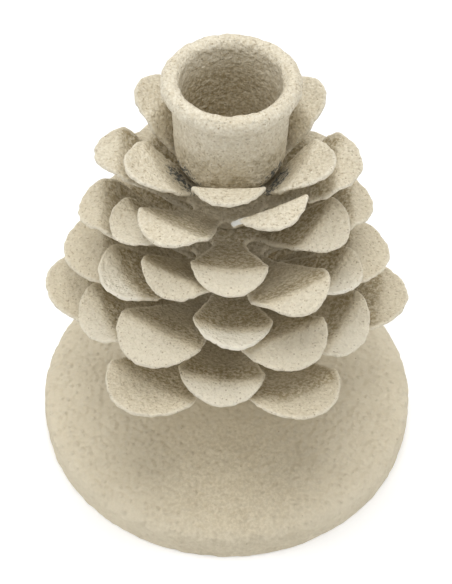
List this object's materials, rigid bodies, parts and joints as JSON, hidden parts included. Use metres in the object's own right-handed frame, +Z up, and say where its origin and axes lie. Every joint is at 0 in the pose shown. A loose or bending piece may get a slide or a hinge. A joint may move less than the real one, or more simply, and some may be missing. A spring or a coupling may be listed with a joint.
{
  "type": "taper candle holder",
  "caption": "Pinecone-shaped holder for a taper candle: stamped petal rosettes stacked on a stem between a shallow round pan and a rolled-rim cup, all sand-coated cream.",
  "frame": {"origin": "centre of the pan's rim plane, where the holder stands on a table", "axes": "+Z up along the tie screw and the candle; front at -Y, where an odd rosette has a petal"},
  "size_m": [0.096, 0.096, 0.114],
  "materials": {
    "sand_coat": "gritty sand-textured matt coat, speckled",
    "plated_steel": "dull zinc-plated"
  },
  "bodies": {
    "root": {"base_pan": "sand_coat", "stem_spacer": "sand_coat", "rosette_1": "sand_coat", "rosette_2": "sand_coat", "rosette_3": "sand_coat", "rosette_4": "sand_coat", "rosette_5": "sand_coat", "rosette_6": "sand_coat", "rosette_7": "sand_coat", "rosette_8": "sand_coat", "spacer_1": "sand_coat", "spacer_2": "sand_coat", "spacer_3": "sand_coat", "spacer_4": "sand_coat", "spacer_5": "sand_coat", "spacer_6": "sand_coat", "spacer_7": "sand_coat", "cup_collar": "sand_coat", "candle_cup": "sand_coat", "tie_screw": "plated_steel", "base_washer": "plated_steel", "base_nut": "plated_steel"}
  },
  "joints": []
}
